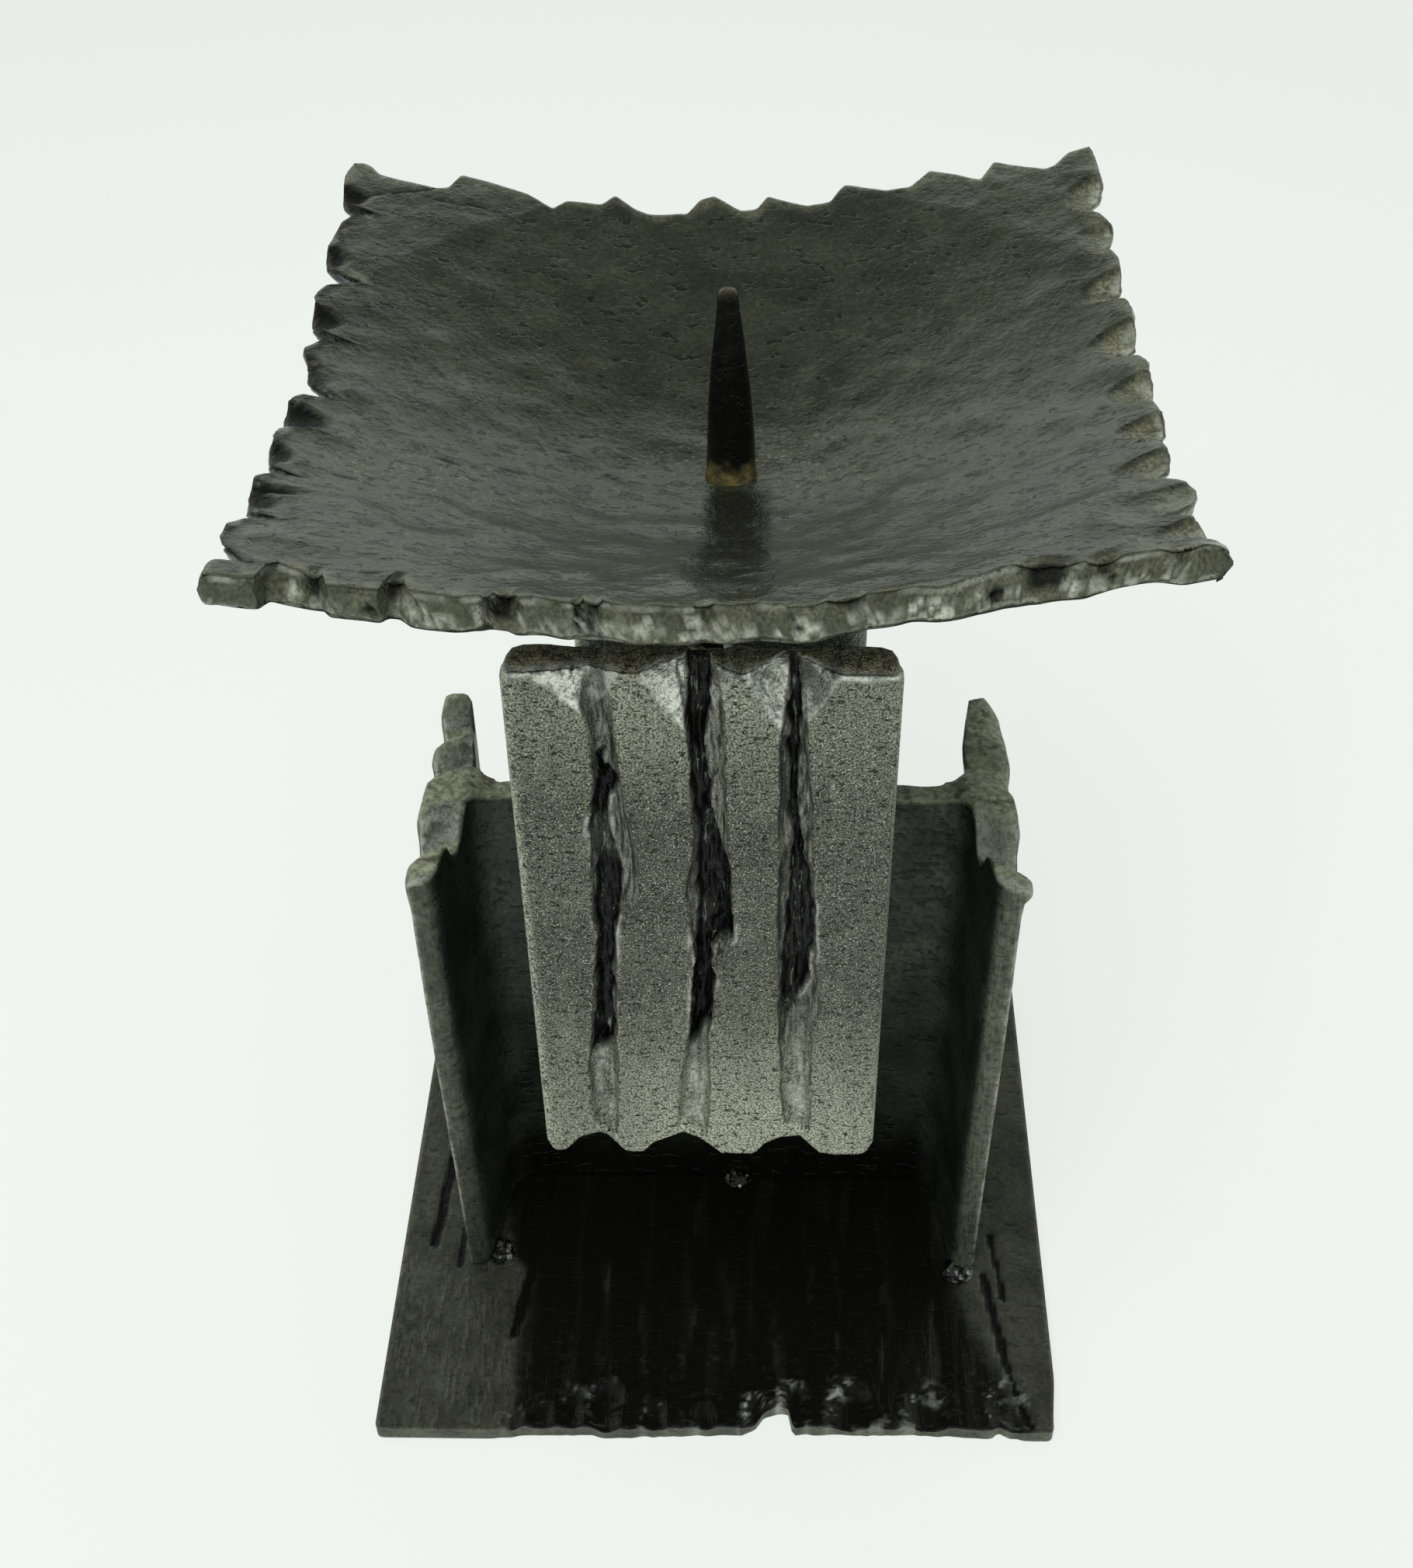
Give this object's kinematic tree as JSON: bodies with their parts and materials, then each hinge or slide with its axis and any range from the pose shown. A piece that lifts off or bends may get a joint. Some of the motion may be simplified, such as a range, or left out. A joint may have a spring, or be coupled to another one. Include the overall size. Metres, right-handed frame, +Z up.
{
  "type": "pricket candle holder",
  "caption": "Welded steel candle holder: beam stub on a plate, fluted flat bars on a cross plate, and a notched square dish with a spike.",
  "frame": {"origin": "centre of the base plate's underside, which stands on the table", "axes": "+Z up along the spike, -Y towards the front of the object, +X to its right as seen from the front"},
  "size_m": [0.153, 0.1506, 0.2466],
  "materials": {
    "base_steel": "blackened, waxed",
    "beam_steel": "dark satin",
    "bar_steel": "grained gunmetal",
    "dish_steel": "hammered, dark satin",
    "spike_steel": "black satin",
    "weld_steel": "bright as welded"
  },
  "bodies": {
    "root": {"base_plate": "base_steel", "beam": "beam_steel", "tie_plate": "beam_steel", "front_bar": "bar_steel", "rear_bar": "bar_steel", "dish": "dish_steel", "spike": "spike_steel", "tack_front_left": "weld_steel", "tack_front_right": "weld_steel", "tack_rear_left": "weld_steel", "tack_rear_right": "weld_steel", "tack_web_front": "weld_steel", "tack_web_rear": "weld_steel", "weld_front_bar": "weld_steel", "weld_rear_bar": "weld_steel", "weld_tie_web": "weld_steel", "weld_dish": "weld_steel"}
  },
  "joints": []
}
